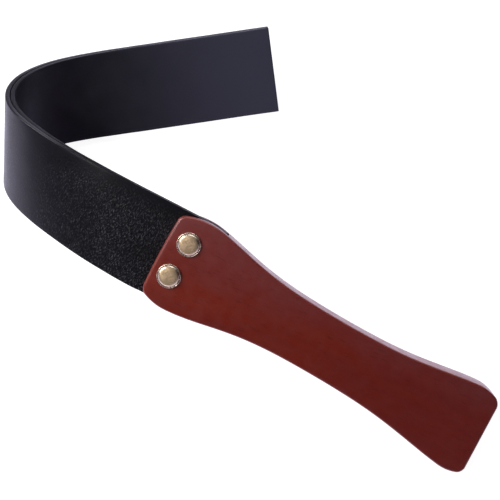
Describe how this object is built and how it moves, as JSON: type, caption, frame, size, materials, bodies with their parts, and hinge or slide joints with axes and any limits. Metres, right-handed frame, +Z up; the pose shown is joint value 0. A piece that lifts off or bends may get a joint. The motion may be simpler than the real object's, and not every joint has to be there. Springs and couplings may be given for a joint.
{
  "type": "leather strop",
  "caption": "Hand strop: a two-ply leather strap folded back on itself, riveted into the slot of a waisted wooden handle.",
  "frame": {"origin": "centre of the bounding box's base: the plane Z = 0 is the surface that the strop lies on", "axes": "+X towards the handle's free end, +Y across the strap towards its tail, +Z up, out of the handle's face"},
  "size_m": [0.2882, 0.1682, 0.066],
  "materials": {
    "handle_wood": "dark red-brown stained hardwood under a satin lacquer",
    "outer_leather": "black grain-side leather, fine pebble, soft sheen",
    "inner_leather": "black smooth stropping side, charged and burnished",
    "antique_brass": "antiqued brass double-cap rivet, dull dome and brighter rolled rim"
  },
  "bodies": {
    "handle_half": {"handle": "handle_wood", "outer_ply_front": "outer_leather", "inner_ply_front": "inner_leather", "upper_rivet_socket_cap": "antique_brass", "upper_rivet_pin_cap": "antique_brass", "lower_rivet_socket_cap": "antique_brass", "lower_rivet_pin_cap": "antique_brass"},
    "tail_half": {"outer_ply_tail": "outer_leather", "inner_ply_tail": "inner_leather"}
  },
  "joints": [
    {"name": "strap_flex", "type": "hinge", "parent": "handle_half", "child": "tail_half", "pos_m": [-0.13872, -0.02238, 0.02988], "axis": [-0.2249, 0.6947, 0.6832], "range_deg": [0, 60], "stiffness_Nm_per_rad": 0.25}
  ]
}
